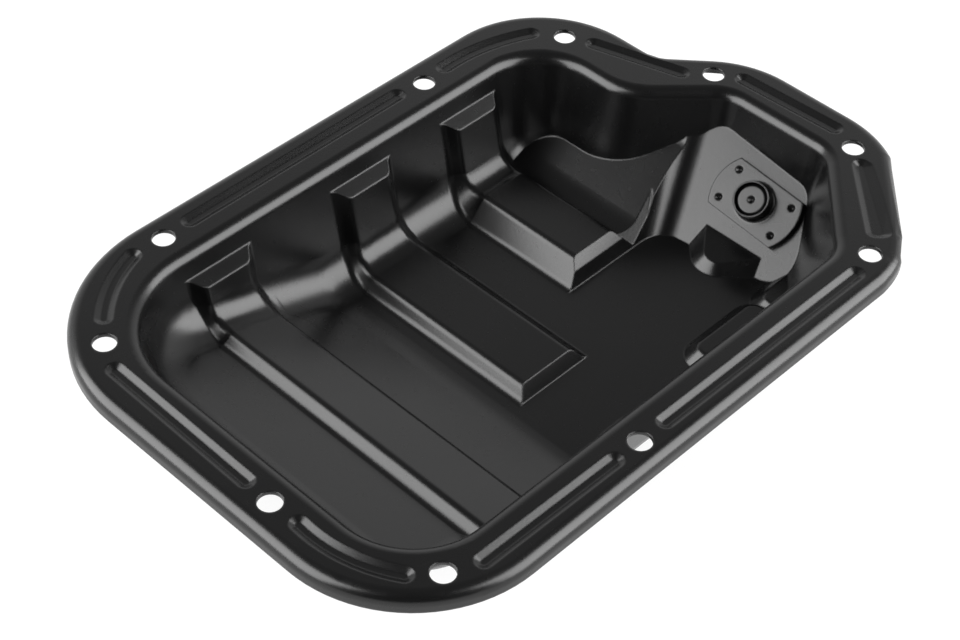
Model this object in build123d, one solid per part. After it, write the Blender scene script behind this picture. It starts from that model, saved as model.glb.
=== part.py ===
from build123d import *
from math import atan2, cos, radians, sin, tan
import os

# Engine oil pan: a deep drawn sheet steel sump with a flat bolting flange.
# Millimetres. The origin is the centre of the bolt holes on the gasket face,
# +X points to the drain end and +Z up, out of the open side.

# Length of the cutting blocks, which reach past the whole pan
reach = 400.0

# Sheet and draw
sheet = 1.4
wall_draft = 12.0
bend_radius = 4.5
foot_radius = 15.0

# Depth of the sump below the gasket face, and the ramp at its shallow end
deep_floor = 42.5
ramp_angle = 16.0
ramp_start = -25.0
ramp_bend = 30.0

# Turned down rim
rim_radius = 4.0
rim_height = 6.5

# Outer edge of the flange: x, y and corner radius
rim_corners = [
    (-137.2, 96.2, 58.0),
    (-137.2, -94.0, 50.0),
    (84.0, -94.0, 28.0),
    (141.4, -46.0, 26.0),
    (141.4, 11.0, 40.0),
    (117.4, 37.7, 12.0),
    (117.4, 96.2, 42.0),
]

# Line where the flange starts to bend down into the sump
mouth_corners = [
    (-120.0, 77.0, 42.0),
    (-120.0, -77.3, 31.0),
    (83.0, -77.3, 20.0),
    (123.5, -41.0, 17.0),
    (123.5, 7.0, 17.0),
    (96.0, 33.0, 22.0),
    (96.0, 77.0, 26.0),
]

# Bolt holes in the flange
bolt_hole = 8.0
bolt_places = [
    (-76.0, 84.9),
    (-120.4, 60.1),
    (-126.9, -25.0),
    (-109.3, -79.1),
    (-31.0, -84.9),
    (87.0, -82.9),
    (126.9, -45.4),
    (123.4, 15.3),
    (100.7, 68.0),
    (44.0, 84.3),
]

# Stiffening beads in the flange: start, end and sideways bow of the arc
bead_width = 6.4
bead_depth = 1.2
bead_floor = 2.0
beads = [
    ((-113.4, 69.3), (-88.5, 85.5), 2.0),
    ((-64.0, 85.6), (32.1, 86.0), 0.0),
    ((55.7, 85.6), (93.2, 78.0), 2.5),
    ((105.4, 57.7), (115.7, 24.3), 0.0),
    ((129.1, 6.0), (130.9, -34.0), 0.0),
    ((121.5, -52.9), (97.2, -77.1), 0.0),
    ((76.0, -85.2), (-19.1, -84.8), 0.0),
    ((-42.1, -84.6), (-97.7, -84.0), 0.0),
    ((-117.6, -71.8), (-126.3, -36.8), 3.0),
    ((-126.4, -13.7), (-125.3, 48.7), 0.0),
]

# Ribs pressed up out of the floor, which climb the far wall
rib_height = 4.5
rib_side = 50.0
rib_tuck = 0.05
rib_crest = 3.4
rib_foot = 4.0
rib_head_level = -9.0
rib_head_slope = 27.0
ramp_rib_middle = -64.6
ramp_rib_width = 22.0
middle_rib_middle = 0.2
middle_rib_width = 24.0
middle_rib_end = -19.5
drain_rib_middle = 53.5
drain_rib_width = 20.0
rib_head_width = 19.0
drain_rib_end = -20.0

# Shelf beside the drain rib, which climbs to the set back end wall
shelf_rise = 4.0
shelf_start = 54.0
shelf_ramp_start = 72.0
shoulder_reach = 107.0
shoulder_level = -19.0
shoulder_radius = 20.0
shoulder_lean = 8.0
brow_reach = 2.0
end_foot = 2.5
end_slope = 65.0
end_crest_level = -37.4
end_crest_slope = 45.0
corner_radius = 11.5

# Sloped drain pad: its centre, how far it is turned, and its lean from the floor
drain_place = (105.0, -24.0, -26.5)
pad_turn = 7.0
pad_slope = 42.0

# Low nose between the floor and the drain pad
nose_corners = [
    (97.0, -46.0, 0),
    (73.5, -23.0, 10.0),
    (100.0, 5.0, 0),
    (112.0, 5.0, 0),
    (112.0, -46.0, 0),
]
nose_rise = 2.4
nose_top = 7.0
nose_turn = 23.0
nose_tilt = 10.0
ledge_side = 45.0

# Ledges at the foot of the near wall: left, right and far edge of the top, and rise
ledge_crest = 2.0
ledge_corner = 4.0
ledges = [
    (-9.0, 7.0, -56.0, 5.5),
    (43.0, 75.0, -48.0, 4.5),
    (79.0, 112.0, -48.0, 4.5),
]

# Drain plate, welded on the pad
plate_radius = 17.5
plate_flats = 20.0
plate_thickness = 3.2
plate_turn = -10.0
hub_radius = 6.7
hub_height = 5.5
hub_fillet = 1.2
weld_dimple = 2.9
weld_spacing_long = 24.5
weld_spacing_short = 12.2

# Drain plug and its washer
thread_size = 12.0
thread_clearance = 0.05
plug_tip = 9.7
plug_recess = 0.8
plug_dimple = 2.9
head_flats = 17.0
head_height = 7.0
collar_radius = 10.5
collar_height = 2.5
washer_radius = 10.0
washer_thickness = 1.5
washer_clearance = 0.25
seat_clearance = 0.05
drain_hole = 14.0


def rounded(corners, grow=0.0):
    """Outline of straight runs and tangent arcs, grown evenly by a distance."""
    points = [Vector(x, y) for x, y, _ in corners]
    count = len(points)
    area = sum(points[i - 1].X * points[i].Y - points[i].X * points[i - 1].Y for i in range(count))
    hand = 1.0 if area > 0 else -1.0
    runs = []
    for i in range(count):
        along = (points[(i + 1) % count] - points[i]).normalized()
        out = Vector(along.Y, -along.X) * hand
        runs.append((points[i] + out * grow, along))
    starts = []
    ends = []
    edges = []
    for i in range(count):
        before, along_before = runs[i - 1]
        after, along_after = runs[i]
        turn = along_before.X * along_after.Y - along_before.Y * along_after.X
        gap = after - before
        corner = before + along_before * ((gap.X * along_after.Y - gap.Y * along_after.X) / turn)
        if corners[i][2] == 0:
            starts.append(corner)
            ends.append(corner)
            continue
        radius = corners[i][2] + (grow if turn * hand > 0 else -grow)
        half = atan2(abs(turn), along_before.dot(along_after)) / 2
        first = corner - along_before * (radius * tan(half))
        last = corner + along_after * (radius * tan(half))
        inward = (along_after - along_before).normalized()
        edges.append(ThreePointArc(first, corner + inward * (radius / cos(half) - radius), last))
        starts.append(first)
        ends.append(last)
    for i in range(count):
        edges.append(Line(ends[i], starts[(i + 1) % count]))
    return make_face(edges)


def drafted(corners, top, depth, draft, grow=0.0):
    """Solid under an outline at height top that narrows downwards at the draft angle."""
    upper = Pos(0, 0, top) * rounded(corners, grow)
    lower = Pos(0, 0, top - depth) * rounded(corners, grow - depth * tan(radians(draft)))
    return loft([upper, lower], ruled=True)


def above(plane):
    """Large block on the positive side of a plane."""
    return plane * Box(reach, reach, reach, align=(Align.CENTER, Align.CENTER, Align.MIN))


def lone_edges(faces):
    """Edges that only one of the given faces has."""
    edges = [edge for face in faces for edge in face.edges()]
    lone = ShapeList()
    for edge in edges:
        middle = edge @ 0.5
        twins = [other for other in edges if (other @ 0.5 - middle).length < 0.001]
        if len(twins) == 1:
            lone.append(edge)
    return lone


def sump_form(grow):
    """Space inside the plain sump, swelled by a distance to give the outer skin."""
    inset = bend_radius * tan(radians((90 - wall_draft) / 2))
    shift = grow / cos(radians(wall_draft)) - inset
    form = drafted(mouth_corners, 0.0, deep_floor + 2 * sheet, wall_draft, shift)
    low = -deep_floor - grow
    start = ramp_start - grow * tan(radians(ramp_angle / 2))
    far = reach / 2
    rise = (start + far) * tan(radians(ramp_angle))
    side = [(-far, low + rise), (start, low), (far, low), (far, far), (-far, far)]
    profile = make_face(Polyline(*side, close=True))
    corner = profile.vertices().sort_by_distance(Vector(start, low))[0]
    profile = fillet(corner, ramp_bend - grow)
    form = form & extrude(Plane.XZ * profile, far, both=True)
    floors = [face for face in form.faces() if face.normal_at().Z < -0.9]
    return fillet(lone_edges(floors), foot_radius + grow)


def rib_section(width, height, grow):
    """Cross section of a rib, flared at its foot, shrunk by the sheet for the outer skin."""
    half = width / 2
    foot = half + height / tan(radians(rib_side))
    flare = foot + rib_foot
    dip = rib_tuck
    deep = foot_radius * 0.8
    corners = [
        (-flare, -dip, 0),
        (-foot, -dip, rib_foot),
        (-half, height, rib_crest),
        (half, height, rib_crest),
        (foot, -dip, rib_foot),
        (flare, -dip, 0),
        (flare, -deep, 0),
        (-flare, -deep, 0),
    ]
    return rounded(corners, -grow)


def rib(middle, width, height, floor, tilt, end, grow):
    """Rib that runs along the floor, round the foot of the far wall and up to its head."""
    draft = radians(wall_draft)
    inset = bend_radius * tan(radians((90 - wall_draft) / 2))
    wall = mouth_corners[0][1] - inset
    turn = radians(90) - draft
    bend = wall + floor * tan(draft) - foot_radius * tan(turn / 2)
    lean = Vector(0, sin(draft), cos(draft))
    across = Vector(cos(radians(tilt)), 0, -sin(radians(tilt)))
    arc_start = Vector(middle, bend, floor)
    arc_middle = arc_start + Vector(0, sin(turn / 2), 1 - cos(turn / 2)) * foot_radius
    arc_end = arc_start + Vector(0, sin(turn), 1 - cos(turn)) * foot_radius
    low = Plane(origin=arc_start, x_dir=across, z_dir=(0, -1, 0)) * rib_section(width, height, grow)
    high = Plane(origin=arc_end, x_dir=(1, 0, 0), z_dir=lean * -1) * rib_section(rib_head_width, rib_height, grow)
    run = extrude(low, bend - end, dir=(0, -1, 0))
    corner = sweep([low, high], path=ThreePointArc(arc_start, arc_middle, arc_end), multisection=True)
    climb = extrude(high, -floor, dir=lean)
    slope = radians(rib_head_slope)
    head_normal = Vector(0, -sin(slope), cos(slope))
    head_point = Vector(middle, wall + rib_head_level * tan(draft), rib_head_level) - head_normal * grow
    head = Plane(origin=head_point, x_dir=(1, 0, 0), z_dir=head_normal)
    return run + corner + (climb - above(head))


def facing(turn, slope):
    """Direction square to a face that leans at a slope and faces the shallow end."""
    flat = sin(radians(slope))
    return Vector(-flat * cos(radians(turn)), -flat * sin(radians(turn)), cos(radians(slope)))


def below(point, normal, grow):
    """Everything under a sloped face, drawn back by the sheet for the outer skin."""
    place = Vector(*point) - normal * grow
    return above(Plane(origin=place, z_dir=normal * -1))


def ramp_rib(grow):
    level = -deep_floor + (ramp_start - ramp_rib_middle) * tan(radians(ramp_angle))
    end = mouth_corners[1][1]
    return rib(ramp_rib_middle, ramp_rib_width, rib_height, level, ramp_angle, end, grow)


def middle_rib(grow):
    end = middle_rib_end - 3 * rib_height
    body = rib(middle_rib_middle, middle_rib_width, rib_height, -deep_floor, 0.0, end, grow)
    point = (middle_rib_middle, middle_rib_end, -deep_floor + rib_height)
    return body & below(point, facing(90, rib_side), grow)


def corner_blend(grow):
    """Round inside corner between the end wall of the shelf and the drain pad."""
    wall = facing(90, end_slope)
    face = facing(pad_turn, pad_slope)
    line = wall.cross(face).normalized()
    across = atan2(wall.cross(face).length, wall.dot(face))
    foot = Vector(0, end_foot, -deep_floor)
    ahead = face - wall * wall.dot(face)
    gap = (Vector(*drain_place) - foot).dot(face)
    corner = foot + ahead * (gap / ahead.dot(face))
    middle = (wall + face) * (corner_radius / (1 + cos(across)))
    radius = corner_radius + grow
    plane = Plane(origin=corner + middle, x_dir=wall * -1, z_dir=line)
    deep = 1.5 * radius
    spread = deep / cos(across / 2)
    section = Polygon(
        (radius, 0),
        (deep, 0),
        (spread * cos(across / 2), spread * sin(across / 2)),
        (deep * cos(across), deep * sin(across)),
        (radius * cos(across), radius * sin(across)),
        align=None,
    )
    return extrude(plane * (section - Circle(radius)), reach / 4, both=True)


def drain_shelf(grow):
    """Drain rib and shelf with their shared end wall, rounded into the drain pad."""
    shelf = -deep_floor + shelf_rise
    depth = -deep_floor - foot_radius
    drain_rib_height = shelf_rise + rib_height
    body = rib(drain_rib_middle, drain_rib_width, drain_rib_height, -deep_floor, 0.0, drain_rib_end, grow)
    wall = facing(90, end_slope)
    crest_back = end_foot + (end_crest_level + deep_floor) / tan(radians(end_slope))
    body = body & below((0, crest_back, end_crest_level), facing(90, end_crest_slope), grow)
    side = [
        (shelf_start, depth, 0),
        (shelf_start, shelf, 0),
        (shelf_ramp_start, shelf, shoulder_radius),
        (shoulder_reach, shoulder_level, shoulder_radius / 2),
        (shoulder_reach + shoulder_lean, 0, 0),
        (shoulder_reach + 4 * shoulder_lean, 0, 0),
        (shoulder_reach + 4 * shoulder_lean, depth, 0),
    ]
    flank = extrude(Plane.XZ * rounded(side, -grow), reach / 4, both=True)
    climb = atan2(shoulder_level - shelf, shoulder_reach - shelf_ramp_start)
    brow = (wall + Vector(-sin(climb), 0, cos(climb))).normalized()
    crest = Vector(shelf_ramp_start, end_foot + shelf_rise / tan(radians(end_slope)), shelf)
    brow_point = crest + Vector(0, brow_reach, 0)
    ended = below((0, end_foot, -deep_floor), wall, grow)
    blend = flank & corner_blend(grow)
    return (body + (flank & below(brow_point, brow, grow))) & ended, blend


def pad(grow):
    return below(drain_place, facing(pad_turn, pad_slope), grow)


def mesa(corners, rise, side, grow):
    """Flat raised patch of the floor with sloping sides and a rounded crest."""
    shrink = grow * tan(radians(side / 2))
    top = -deep_floor + rise - grow
    body = drafted(corners, top, rise + 4 * sheet, side - 90, -shrink)
    crest = body.faces().sort_by(Axis.Z)[-1]
    return fillet(crest.edges(), ledge_crest - grow)


def ledge(left, right, far, rise, grow):
    near = rim_corners[1][1]
    corners = [(left, far, ledge_corner), (left, near, 0), (right, near, 0), (right, far, ledge_corner)]
    return mesa(corners, rise, ledge_side, grow)


def nose(grow):
    shrink = grow * tan(radians(ledge_side / 2))
    spread = nose_top / tan(radians(ledge_side))
    top = -deep_floor + nose_top - grow
    body = drafted(nose_corners, top, nose_top + 4 * sheet, ledge_side - 90, -spread - shrink)
    tip = Vector(nose_corners[1][0], nose_corners[1][1], -deep_floor + nose_rise)
    return body & below(tip, facing(nose_turn, nose_tilt), grow)


def features(grow):
    """Everything pressed up into the sump, kept below the bend of the flange."""
    shelf, blend = drain_shelf(grow)
    found = [ramp_rib(grow), middle_rib(grow), shelf, blend, pad(grow), nose(grow)]
    found += [ledge(*sizes, grow) for sizes in ledges]
    room = Pos(0, 0, -bend_radius - sheet) * extrude(rounded(mouth_corners), -2 * deep_floor)
    return [form & room for form in found]


def bead(start, end, bow, grow):
    """Flat bottomed bead with sloping sides and round ends, straight or bowed outwards."""
    side_angle = atan2(bead_depth, (bead_width - bead_floor) / 2)
    spread = grow * tan(side_angle / 2)
    overlap = sheet / 2
    upper = -grow + overlap
    lower = -grow - bead_depth
    wide = bead_width / 2 + spread + overlap / tan(side_angle)
    narrow = bead_floor / 2 + spread
    first = Vector(*start)
    last = Vector(*end)
    along = (last - first).normalized()
    side = Vector(along.Y, -along.X, 0)
    middle = (first + last) * 0.5
    if middle.dot(side) < 0:
        side = side * -1
    path = Line(first, last) if bow == 0 else ThreePointArc(first, middle + side * bow, last)
    ahead = path % 0
    section = Polygon((-wide, upper), (-narrow, lower), (narrow, lower), (wide, upper), align=None)
    track = sweep(Plane(origin=first, x_dir=(-ahead.Y, ahead.X, 0), z_dir=ahead) * section, path=path)
    end_form = Pos(0, 0, (upper + lower) / 2) * Cone(narrow, wide, upper - lower)
    return track + Pos(first) * end_form + Pos(last) * end_form


def level_edges(body, level):
    """Edges of the sump's mouth at a level, without those of the flange's rim."""
    mouth = rounded(mouth_corners, bend_radius / 2)
    edges = [edge for edge in body.edges() if abs((edge @ 0.5).Z - level) < 0.01]
    edges = [edge for edge in edges if abs((edge @ 0.0).Z - level) < 0.01]
    places = [Vector((edge @ 0.5).X, (edge @ 0.5).Y, 0) for edge in edges]
    return [edge for edge, place in zip(edges, places) if mouth.is_inside(place)]


def pan_shell():
    lid = extrude(rounded(rim_corners), -rim_height)
    lid = fillet(lid.faces().sort_by(Axis.Z)[-1].edges(), rim_radius)
    hollow = Pos(0, 0, -sheet) * extrude(rounded(rim_corners, -sheet), -rim_height)
    hollow = fillet(hollow.faces().sort_by(Axis.Z)[-1].edges(), rim_radius - sheet)
    body = lid - hollow + sump_form(sheet)
    body = fillet(level_edges(body, -sheet), bend_radius - sheet)

    cavity = sump_form(0.0) + extrude(rounded(rim_corners, rim_radius), rim_height)
    cavity = fillet(level_edges(cavity, 0.0), bend_radius)

    for form in features(sheet):
        body = body - form
    for form in features(0.0):
        cavity = cavity - form

    for start, end, bow in beads:
        body = body + bead(start, end, bow, sheet)
        cavity = cavity + bead(start, end, bow, 0.0)
    shell = body - cavity
    for x, y in bolt_places:
        shell = shell - Pos(x, y, 0) * Cylinder(bolt_hole / 2, 4 * sheet)
    return shell - drain_plane() * Cylinder(drain_hole / 2, 4 * sheet)


def drain_plane():
    """Plane on the pad's inner face at the drain, its normal pointing into the sump."""
    normal = facing(pad_turn, pad_slope)
    level = Vector(0, 0, 1).cross(normal).normalized()
    return Plane(origin=Vector(*drain_place), x_dir=level, z_dir=normal)


def dimple(width):
    """Point left by a punch: a short cone below the surface it is struck on."""
    return Pos(0, 0, -width / 8) * Cone(0, 3 * width / 4, 3 * width / 4)


def drain_plate():
    disc = Circle(plate_radius) & Rot(0, 0, plate_turn) * Rectangle(3 * plate_radius, plate_flats)
    plate = extrude(disc, plate_thickness)
    hub = extrude(Circle(hub_radius), plate_thickness + hub_height)
    plate = plate + hub
    seams = [edge for edge in plate.edges().filter_by(GeomType.CIRCLE) if abs(edge.radius - hub_radius) < 0.01]
    plate = fillet(ShapeList(seams).sort_by(Axis.Z)[0], hub_fillet)
    plate = plate - Cylinder(thread_size / 2 + thread_clearance, 3 * (plate_thickness + hub_height))
    for x in (-weld_spacing_long / 2, weld_spacing_long / 2):
        for y in (-weld_spacing_short / 2, weld_spacing_short / 2):
            plate = plate - Rot(0, 0, plate_turn) * Pos(x, y, plate_thickness) * dimple(weld_dimple)
    return drain_plane() * plate


def drain_washer():
    ring = Circle(washer_radius) - Circle(thread_size / 2 + washer_clearance)
    washer = extrude(ring, -washer_thickness)
    return drain_plane() * Pos(0, 0, -sheet - seat_clearance) * washer


def drain_plug():
    seat = -sheet - washer_thickness - 2 * seat_clearance
    length = plate_thickness + hub_height - plug_recess - seat
    shank = Pos(0, 0, seat) * extrude(Circle(thread_size / 2), length)
    shank = chamfer(shank.edges().sort_by(Axis.Z)[-1], (thread_size - plug_tip) / 2)
    collar = Pos(0, 0, seat) * extrude(Circle(collar_radius), -collar_height)
    hexagon = extrude(RegularPolygon(head_flats / 2, 6, major_radius=False), -head_height)
    round_end = extrude(Circle(head_flats / 2 + 2 * head_height), -head_height)
    round_end = chamfer(round_end.edges().sort_by(Axis.Z)[0], head_height * 0.98, 2 * head_height)
    head = Pos(0, 0, seat - collar_height) * (hexagon & round_end)
    tip = Pos(0, 0, seat + length) * dimple(plug_dimple)
    return drain_plane() * (shank + collar + head - tip)


os.makedirs("parts", exist_ok=True)
for name, make in (
    ("pan_shell", pan_shell),
    ("drain_plate", drain_plate),
    ("drain_washer", drain_washer),
    ("drain_plug", drain_plug),
):
    export_step(make(), "parts/" + name + ".step")
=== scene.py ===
# %% [markdown]
# # An engine oil pan in black paint
#
# The pan is one stamping of thin sheet steel, with a plate welded inside it, a drain plug and
# a soft washer. Their solids come from the CAD frame at their real size, so this lesson only
# dresses them. It gives each piece its paint or metal, fills out one corner of the flange,
# stands the pan on a plain floor, and lights it so that the pressed shapes can be read.

# %% Load the frame
import math
import bpy
import numpy as np
from mathutils import Matrix, Vector


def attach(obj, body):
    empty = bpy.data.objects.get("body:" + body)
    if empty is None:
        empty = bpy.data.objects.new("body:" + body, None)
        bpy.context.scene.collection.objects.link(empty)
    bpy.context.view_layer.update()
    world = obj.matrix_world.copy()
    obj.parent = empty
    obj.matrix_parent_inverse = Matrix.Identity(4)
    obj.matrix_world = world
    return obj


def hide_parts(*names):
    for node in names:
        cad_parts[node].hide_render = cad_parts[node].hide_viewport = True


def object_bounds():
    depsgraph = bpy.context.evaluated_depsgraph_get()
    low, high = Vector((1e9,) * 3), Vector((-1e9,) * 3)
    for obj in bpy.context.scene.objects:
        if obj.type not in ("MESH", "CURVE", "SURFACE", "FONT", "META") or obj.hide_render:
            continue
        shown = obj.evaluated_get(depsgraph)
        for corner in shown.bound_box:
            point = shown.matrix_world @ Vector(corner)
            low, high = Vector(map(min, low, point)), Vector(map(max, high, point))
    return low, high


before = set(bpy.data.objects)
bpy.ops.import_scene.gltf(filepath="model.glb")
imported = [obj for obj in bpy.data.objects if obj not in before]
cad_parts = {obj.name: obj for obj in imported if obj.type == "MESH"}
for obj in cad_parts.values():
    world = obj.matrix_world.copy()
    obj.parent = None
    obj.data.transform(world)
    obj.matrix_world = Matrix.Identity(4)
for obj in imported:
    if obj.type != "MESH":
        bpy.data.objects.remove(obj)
cad_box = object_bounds()
low, high = (Vector(corner) for corner in cad_box)
print("pieces:", sorted(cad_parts))
print("size in mm:", [round(side * 1000, 1) for side in high - low])

# %% [markdown]
# ## Shader maths as plain expressions
#
# Node trees are quick to draw and slow to read. A small class wraps one output socket and
# overloads the arithmetic operators, so that a mask is written as a formula. Each operator
# adds one Math node behind the scenes. The reflected forms let a plain number come first.

# %% Wrap a socket


class Value:
    """One output socket, with arithmetic that adds Math nodes."""

    def __init__(self, tree, socket):
        self.tree = tree
        self.socket = socket

    def maths(self, operation, first, second):
        return self.tree.node("ShaderNodeMath", {"operation": operation}, {0: first, 1: second})

    def __add__(self, other):
        return self.maths("ADD", self, other)

    __radd__ = __add__

    def __mul__(self, other):
        return self.maths("MULTIPLY", self, other)

    __rmul__ = __mul__

    def __sub__(self, other):
        return self.maths("SUBTRACT", self, other)

    def __rsub__(self, other):
        return self.maths("SUBTRACT", other, self)


print("operators ready:", "+ - *")

# %% [markdown]
# ## One method for every other node
#
# Noise, ramps, bumps and shaders are all added the same way: the node's type, then its own
# settings, then what goes into its sockets. Settings come first, because they can change
# which sockets a node has. A ramp's stops are settings too, each a position and a grey.

# %% Build node trees


def grey(shade):
    """An opaque grey, as the four numbers that a colour takes."""
    return (shade, shade, shade, 1.0)


class Tree:
    """The node tree of a material or a world, started from nothing but its output."""

    def __init__(self, owner, out_kind="ShaderNodeOutputMaterial"):
        self.owner = owner
        owner.use_nodes = True
        self.nodes = owner.node_tree.nodes
        self.links = owner.node_tree.links
        self.nodes.clear()
        self.out = self.nodes.new(out_kind)

    def node(self, kind, settings=None, inputs=None, output=0):
        """Add a node, and wrap one of its outputs."""
        made = self.nodes.new(kind)
        for key, value in (settings or {}).items():
            if key == "stops":
                self.set_stops(made.color_ramp, value)
            else:
                setattr(made, key, value)
        for key, value in (inputs or {}).items():
            if isinstance(value, Value):
                self.links.new(value.socket, made.inputs[key])
            else:
                made.inputs[key].default_value = value
        return Value(self, made.outputs[output])

    def set_stops(self, ramp, stops):
        """Add the stops that are missing halfway, then put all of them in their places."""
        while len(ramp.elements) < len(stops):
            ramp.elements.new(0.5)
        for element, (position, shade) in zip(ramp.elements, stops):
            element.position = position
            element.color = grey(shade)

    def finish(self, shader):
        """Link the last shader to the output, and hand back the material or the world."""
        self.links.new(shader.socket, self.out.inputs["Surface"])
        return self.owner


def material_tree(name):
    return Tree(bpy.data.materials.new(name))


print("node trees are built with", Tree.node.__name__)

# %% [markdown]
# ## Noise that stays on the piece
#
# Paint and metal both vary a little from place to place. Object coordinates lay the noise out
# in metres and in the piece's own space, so it has a real size and turns with the plug. A
# scale of 1000 gives a grain of about a millimetre.

# %% Noise


def noise(tree, scale, detail):
    place = tree.node("ShaderNodeTexCoord", output="Object")
    return tree.node("ShaderNodeTexNoise", {}, {"Vector": place, "Scale": scale, "Detail": detail})


print("noise is laid out in metres")

# %% [markdown]
# ## Black paint on pressed steel
#
# The pan is painted black after pressing. The coat is satin: it shows wide soft reflections,
# a very fine orange peel, faint dull patches where it is thinner, and a few duller specks.
# A flat black and an even gloss would do from far away, but look like plastic close up. So a
# fine noise gives the peel as bump, a broad one moves the roughness up and down about its
# middle, and the peaks of a third one are the specks.
#
# Paint also rounds sharp edges and folds. The Bevel node shows this without more faces: it
# bends the normals near an edge, and the Bump node then adds the peel on top of them.

# %% Black paint
peel_scale = 900.0
peel_strength = 0.06
peel_height = 0.0002
patch_scale = 28.0
patch_reach = 0.10
speck_scale = 420.0
speck_stops = [(0.66, 0.0), (0.74, 1.0)]
speck_reach = 0.02
edge_radius = 0.0009
edge_samples = 6
cool_tint = 1.03


def black_paint(name, shade, roughness):
    """Satin paint in a dark shade, with its middle roughness between the specks."""
    paint = material_tree(name)
    peel = noise(paint, peel_scale, detail=2.0)
    patch = noise(paint, patch_scale, detail=3.0)
    speck = noise(paint, speck_scale, detail=1.0)
    dust = paint.node("ShaderNodeValToRGB", {"stops": speck_stops}, {0: speck})
    rough = patch * patch_reach + dust * speck_reach + (roughness - patch_reach / 2)
    edges = paint.node("ShaderNodeBevel", {"samples": edge_samples}, {"Radius": edge_radius})
    bump = paint.node("ShaderNodeBump", {}, {
        "Height": peel,
        "Strength": peel_strength,
        "Distance": peel_height,
        "Normal": edges,
    })
    shader = paint.node("ShaderNodeBsdfPrincipled", {}, {
        "Base Color": (shade, shade, shade * cool_tint, 1.0),
        "Roughness": rough,
        "Specular IOR Level": 0.5,
        "Normal": bump,
    })
    return paint.finish(shader)


pan_paint = black_paint("pan_black_paint", shade=0.0022, roughness=0.26)
plate_paint = black_paint("plate_black_paint", shade=0.003, roughness=0.27)
plug_paint = black_paint("plug_black_paint", shade=0.003, roughness=0.30)
print("paints:", pan_paint.name, plate_paint.name, plug_paint.name)

# %% [markdown]
# ## The soft washer
#
# The ring under the plug's head is bare soft metal, so it is bright, with a fine grain. It is
# only seen from outside, under the head. Metal takes its colour from what it mirrors, so a
# pale base at full Metallic is enough, and the grain goes into the roughness alone.

# %% Washer metal
grain_scale = 1500.0
grain_reach = 0.15
least_roughness = 0.25


def washer_metal():
    metal = material_tree("washer_metal")
    grain = noise(metal, grain_scale, detail=2.0)
    shader = metal.node("ShaderNodeBsdfPrincipled", {}, {
        "Base Color": (0.72, 0.73, 0.74, 1.0),
        "Metallic": 1.0,
        "Roughness": grain * grain_reach + least_roughness,
    })
    return metal.finish(shader)


bare_washer = washer_metal()
print("washer:", bare_washer.name)

# %% [markdown]
# ## Give each solid its finish
#
# The solids keep the places that the CAD frame gave them, and their meshes stay as they came.
# Each one only gets its material, in every slot that it has.

# %% Dress the solids
finishes = {
    "pan_shell": pan_paint,
    "drain_plate": plate_paint,
    "drain_washer": bare_washer,
    "drain_plug": plug_paint,
}
for node, material in finishes.items():
    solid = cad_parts[node]
    for slot in solid.material_slots:
        slot.material = material
    print(node, "has", material.name, "on", len(solid.data.polygons), "faces")

# %% [markdown]
# ## A fuller corner for the pan
#
# Beside the drain the flange of the real pan swells out to a fuller corner than the plain
# solid has. It could be drawn again from nothing, but the rest of the stamping is right. So
# the shell is copied as a skin and only this corner is moved: each point near the old edge
# goes out along that edge's normal, and what lies further in stays, as do the bolt holes.

# %% Copy the shell
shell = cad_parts["pan_shell"]
skin = bpy.data.objects.new("pan_skin", shell.data.copy())
bpy.context.collection.objects.link(skin)
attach(skin, "pan")
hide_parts("pan_shell")
print("skin:", len(skin.data.polygons), "faces")

# %% [markdown]
# ### Two edges, the old and the full
#
# An edge with rounded corners is easy to sample: straight runs between arcs, where each arc
# starts and ends its radius times the tangent of half the turn before and after its corner.

# %% Sample an edge with round corners


def rounded_edge(corners, step=0.0005):
    """Points along straight runs and tangent arcs, from corners of x, y and radius."""
    points = [Vector(corner[:2]) for corner in corners]
    found = [points[0]]
    for before, here, after, corner in zip(points, points[1:], points[2:], corners[1:]):
        radius = corner[2]
        inward = (before - here).normalized()
        onward = (after - here).normalized()
        half = math.pi / 2 - inward.angle(onward) / 2
        reach = radius * math.tan(half)
        centre = here + (inward + onward).normalized() * (radius / math.cos(half))
        first = (here + inward * reach - centre).normalized()
        last = (here + onward * reach - centre).normalized()
        count = max(2, int(radius * 2 * half / step))
        found += [centre + first.slerp(last, i / count) * radius for i in range(count + 1)]
    found.append(points[-1])
    spread = [found[0]]
    for start, end in zip(found, found[1:]):
        count = max(1, int((end - start).length / step))
        spread += [start.lerp(end, (i + 1) / count) for i in range(count)]
    return np.array([tuple(point) for point in spread])


near_edge = low.y
drain_edge = high.x
run_start = (0.030, near_edge)
run_end = (drain_edge, 0.0)
old_corner = [run_start, (0.0840, near_edge, 0.028), (drain_edge, -0.0460, 0.026), run_end]
full_corner = [run_start, (0.0930, near_edge, 0.038), (drain_edge, -0.0535, 0.042), run_end]
old_edge = rounded_edge(old_corner)
full_edge = rounded_edge(full_corner)
print("edge points:", len(old_edge), len(full_edge))

# %% [markdown]
# ### How far out the corner goes
#
# The way out at each point of the old edge is the distance along its normal to the full one.
# NumPy works out all of these at once, as crossings of the normals with short segments: the
# ratio of two cross products says how far along the normal, and a third says where on the
# segment, from 0 to 1, it is crossed. The nearest crossing counts.

# %% Measure how far the corner swells
largest_swell = 0.012
end_slack = 0.01
parallel = 1e-12


def cross(first, second):
    return first[..., 0] * second[..., 1] - first[..., 1] * second[..., 0]


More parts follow.
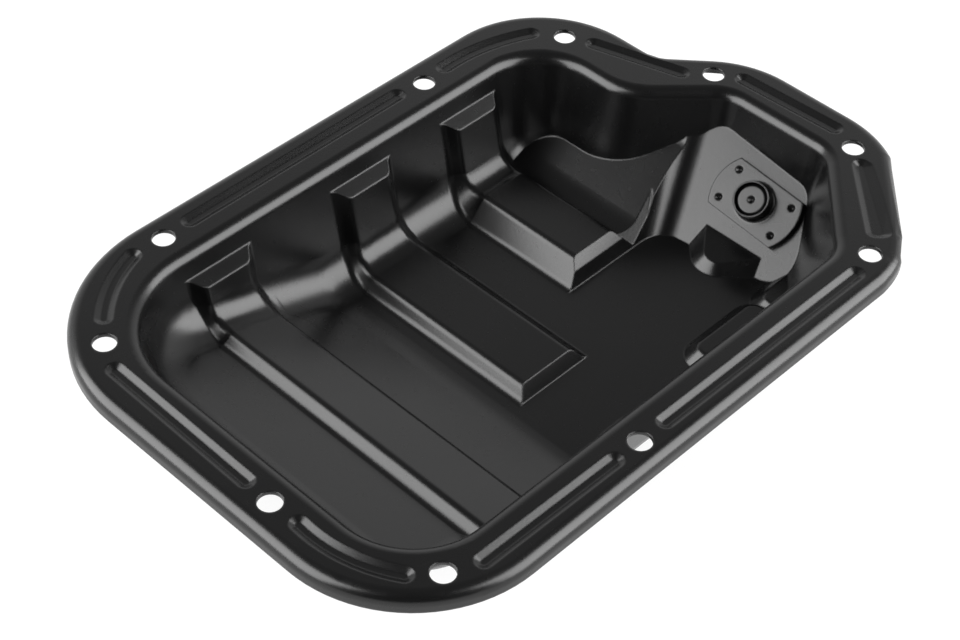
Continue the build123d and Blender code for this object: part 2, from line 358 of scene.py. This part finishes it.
along = np.gradient(old_edge, axis=0)
along /= np.linalg.norm(along, axis=1)[:, None]
outward = np.stack([along[:, 1], -along[:, 0]], axis=1)
normals = outward[:, None]
segments = (full_edge[1:] - full_edge[:-1])[None]
gaps = full_edge[:-1][None] - old_edge[:, None]
across = cross(normals, segments)
across = np.where(abs(across) < parallel, parallel, across)
distance = cross(gaps, segments) / across
share = cross(gaps, normals) / across
met = (share >= -end_slack) & (share <= 1 + end_slack) & (abs(distance) < largest_swell)
swell = np.where(met, abs(distance), np.inf).min(axis=1)
swell[np.isinf(swell)] = 0.0
print("the corner swells by up to", round(float(swell.max()) * 1000, 1), "mm")

# %% [markdown]
# ### The rim's rounding
#
# The flange turns down at its edge in a quarter circle. One formula gives the height at a
# distance inside the edge, and the other the distance at a depth. A scaled copy would flatten
# the rounding in the wider corner, and with these each point comes back onto the same curve.

# %% Follow the rim's rounding
rim_radius = 0.004


def rim_height(inset):
    """Height of the flange at a distance inside its edge."""
    return np.sqrt(rim_radius**2 - np.clip(rim_radius - inset, 0.0, rim_radius) ** 2) - rim_radius


def rim_inset(depth):
    """Distance inside the edge at which the rounding has a depth below the flange."""
    return rim_radius - math.sqrt(max(0.0, rim_radius**2 - max(0.0, rim_radius - depth) ** 2))


print("halfway down the rounding, in mm:", round(rim_inset(rim_radius / 2) * 1000, 2))

# %% [markdown]
# ### How much of the way each point goes
#
# The turned down rim goes all the way out. From there the share falls with the distance from
# the edge, until a point in the flat flange stays. The hole of a bolt has to stay round, so
# the points on its wall stay too, and the share rises again within a short slope around it.

# %% Share out the way
sheet = 0.0014
top_start = 0.0005
slope_length = 0.0045
slack = 0.00005
bolt_radius = 0.004
bolt_still = 1.02 * bolt_radius
bolt_slope = 0.2 * bolt_radius
corner_bolts = np.array([(0.0870, -0.0829), (0.1269, -0.0454)])


def rise(value, start, length):
    """0 up to the start, 1 from a length beyond it, and a straight slope between them."""
    return min(1.0, max(0.0, (value - start) / length))


def share_of_way(spot, inset, underneath):
    """1 at the rim, falling to 0 in the flat flange and beside the hole of a bolt."""
    start = sheet + slack if underneath else top_start
    from_bolt = np.linalg.norm(corner_bolts - spot, axis=1).min()
    return (1.0 - rise(inset, start, slope_length)) * rise(from_bolt, bolt_still, bolt_slope)


print("share at the edge:", share_of_way(old_edge[len(old_edge) // 2], 0.0, False))

# %% [markdown]
# ### Move the points
#
# Only the points of this end of the pan are looked at, one by one. A point of the bead's
# underside that pokes through the rim is first drawn back to the rim's rounding. Then each
# point near the edge goes out. On top, one that goes only some of the way ends up further
# inside the new edge, so its height is changed by what the rounding says.

# %% Move the corner
corner_from_x = 0.06
corner_below_y = -0.01
edge_zone = 0.012
poke_through = 0.00001

places = np.empty(len(skin.data.vertices) * 3)
skin.data.vertices.foreach_get("co", places)
places = places.reshape(-1, 3)
near = np.where((places[:, 0] > corner_from_x) & (places[:, 1] < corner_below_y))[0]
for index in near:
    gap = old_edge - places[index, :2]
    nearest = int(np.argmin((gap**2).sum(axis=1)))
    out = outward[nearest]
    inset = float(gap[nearest] @ out)
    depth = max(0.0, -float(places[index, 2]))
    least_inset = rim_inset(depth)
    if inset < least_inset - poke_through:
        places[index, :2] -= out * (least_inset - inset)
        inset = least_inset
    if inset > edge_zone:
        continue
    underneath = depth > sheet - slack
    way = swell[nearest] * share_of_way(places[index, :2], inset, underneath)
    places[index, :2] += out * way
    if not underneath:
        new_inset = inset + swell[nearest] - way
        places[index, 2] += float(rim_height(new_inset) - rim_height(inset))
skin.data.vertices.foreach_set("co", places.ravel())
skin.data.update()
print("points looked at:", len(near))

# %% [markdown]
# ## Floor and background
#
# The pan stands on a seamless white floor. It could be lit until it is white, but the lamps
# would have to be too strong for the paint. So the camera, and whatever mirrors the floor,
# sees a little plain floor that takes the pan's shadow, and a glow that lifts it to white.
# All other rays see a plain pale floor, which sends a natural amount of light back up.

# %% Tell the rays that see white from the others
ray_kinds = ("Is Camera Ray", "Is Glossy Ray", "Is Transmission Ray")


def seen_rays(tree):
    """1 for rays from the camera, off a gloss or through glass, and 0 for all others."""
    camera_ray, glossy_ray, glass_ray = (
        tree.node("ShaderNodeLightPath", output=kind) for kind in ray_kinds
    )
    return 1 - (1 - camera_ray) * (1 - glossy_ray) * (1 - glass_ray)


print("kinds of ray that see white:", len(ray_kinds))

# %% [markdown]
# ### A floor just below the pan
#
# The floor lies a hair below the pan. Where two faces lie in one plane, Blender can't tell
# which is in front, and a picture from below would show patches of both.

# %% Floor
floor_gap = 0.00005
floor_size = 6.0
floor_level = low.z - floor_gap
plain_grey = 0.8
shadow_grey = 0.16
glow_strength = 0.86


def white_floor():
    white = material_tree("white_floor")
    plain = white.node("ShaderNodeBsdfDiffuse", {}, {"Color": grey(plain_grey)})
    shaded = white.node("ShaderNodeBsdfDiffuse", {}, {"Color": grey(shadow_grey)})
    glow = white.node("ShaderNodeEmission", {}, {"Color": grey(1.0), "Strength": glow_strength})
    lifted = white.node("ShaderNodeAddShader", {}, {0: shaded, 1: glow})
    mixed = white.node("ShaderNodeMixShader", {}, {0: seen_rays(white), 1: plain, 2: lifted})
    return white.finish(mixed)


bpy.ops.mesh.primitive_plane_add(size=floor_size, location=(0, 0, floor_level))
floor = bpy.context.object
floor.name = "floor"
floor.data.materials.append(white_floor())
print("floor at", round(floor_level * 1000, 1), "mm")

# %% [markdown]
# ## Lamps
#
# Black paint shows only what it reflects, so the lamps are placed by the mirror rule: one
# soft box where the faces that look to the shallow end reflect, and one where the faces that
# look to the near side reflect. They are large and dim, because a small bright lamp would
# draw hard white patches on the satin coat.

# %% Soft boxes
middle = (low + high) / 2
box_width = 1.5
box_height = 1.2
box_distance = 1.3
box_power = 36.0


def soft_box(name, direction):
    """A lamp that stands in a direction from the middle of the pan, and faces it."""
    light = bpy.data.lights.new(name, "AREA")
    light.shape = "RECTANGLE"
    light.size = box_width
    light.size_y = box_height
    light.energy = box_power
    lamp = bpy.data.objects.new(name, light)
    aim = Vector(direction).normalized()
    lamp.location = middle + aim * box_distance
    lamp.rotation_euler = aim.to_track_quat("Z", "Y").to_euler()
    bpy.context.collection.objects.link(lamp)
    return lamp


left_box = soft_box("left_soft_box", (-0.72, 0.46, 0.50))
right_box = soft_box("right_soft_box", (0.50, -0.72, 0.48))
print("lamps:", left_box.name, right_box.name)

# %% [markdown]
# ## Sky
#
# The sky stands for the walls and the ceiling of a studio. It is white at the horizon behind
# the pan, fades to a dark ceiling, and is dark behind the viewer, where the room's lights are
# off. An even white sky would be simpler, but the paint would mirror it and turn grey.
#
# A Mix node has sockets for each type of data, and the three numbers are its colour ones.

# %% Fade the sky
upward_stops = [(0.0, 1.0), (0.45, 1.0), (0.60, 0.70), (0.72, 0.26), (1.0, 0.16)]
sideways_stops = [(0.15, 0.08), (0.65, 1.0)]
away_from_viewer = (0.68, 0.73, 0.0)
sky_strength = 0.9
first_colour, second_colour, mixed_colour = 6, 7, 2

sky = Tree(bpy.data.worlds.new("studio"), "ShaderNodeOutputWorld")
aim = sky.node("ShaderNodeTexCoord", output="Generated")
rising = sky.node("ShaderNodeSeparateXYZ", {}, {0: aim}, "Z")
dot_product = {"operation": "DOT_PRODUCT"}
away = sky.node("ShaderNodeVectorMath", dot_product, {0: aim, 1: away_from_viewer}, "Value")
upward = sky.node("ShaderNodeValToRGB", {"stops": upward_stops}, {0: rising})
sideways = sky.node("ShaderNodeValToRGB", {"stops": sideways_stops}, {0: away * 0.5 + 0.5})
tone = sky.node(
    "ShaderNodeMix",
    {"data_type": "RGBA", "blend_type": "MULTIPLY"},
    {"Factor": 1.0, first_colour: upward, second_colour: sideways},
    mixed_colour,
)
print("the sky is", sky_strength, "bright at the horizon")

# %% [markdown]
# ### White behind the pan
#
# The faded sky and a plain white one are two backgrounds, and the kind of ray picks one. So
# the camera sees white behind the pan, and the paint mirrors the studio.

# %% Show white to the camera
studio = sky.node("ShaderNodeBackground", {}, {"Color": tone, "Strength": sky_strength})
white = sky.node("ShaderNodeBackground", {}, {"Color": grey(1.0), "Strength": 1.0})
camera_ray = sky.node("ShaderNodeLightPath", output="Is Camera Ray")
picked = sky.node("ShaderNodeMixShader", {}, {0: camera_ray, 1: studio, 2: white})
bpy.context.scene.world = sky.finish(picked)
print("world:", bpy.context.scene.world.name)

# %% [markdown]
# ## Camera
#
# The camera stands where the photograph was taken from. Its place and its three angles were
# solved from the outlines of the bolt holes, which are round and lie in one plane. The lens
# is long, so lines stay nearly parallel. A camera looks along its own minus Z, with X to the
# right and Y up, so its matrix has the right, up and backward directions as its columns.

# %% Camera
lens_mm = 80.19
sensor_mm = 36.0
camera_place = Vector((-0.3852, -0.3455, 0.4775))
heading = math.radians(47.156)
dip = math.radians(44.464)
roll = math.radians(-2.180)

forward = Vector((
    math.cos(dip) * math.sin(heading),
    math.cos(dip) * math.cos(heading),
    -math.sin(dip),
))
level = Vector((math.cos(heading), -math.sin(heading), 0.0))
under = forward.cross(level)
right = level * math.cos(roll) + under * math.sin(roll)
down = under * math.cos(roll) - level * math.sin(roll)
turn = Matrix((right, -down, -forward)).transposed()

view = bpy.data.cameras.new("camera")
view.lens = lens_mm
view.sensor_width = sensor_mm
camera = bpy.data.objects.new("camera", view)
camera.matrix_world = Matrix.Translation(camera_place) @ turn.to_4x4()
bpy.context.collection.objects.link(camera)
bpy.context.scene.camera = camera
bpy.context.scene.view_settings.view_transform = "Standard"
print("camera at", [round(value * 1000) for value in camera_place], "mm")
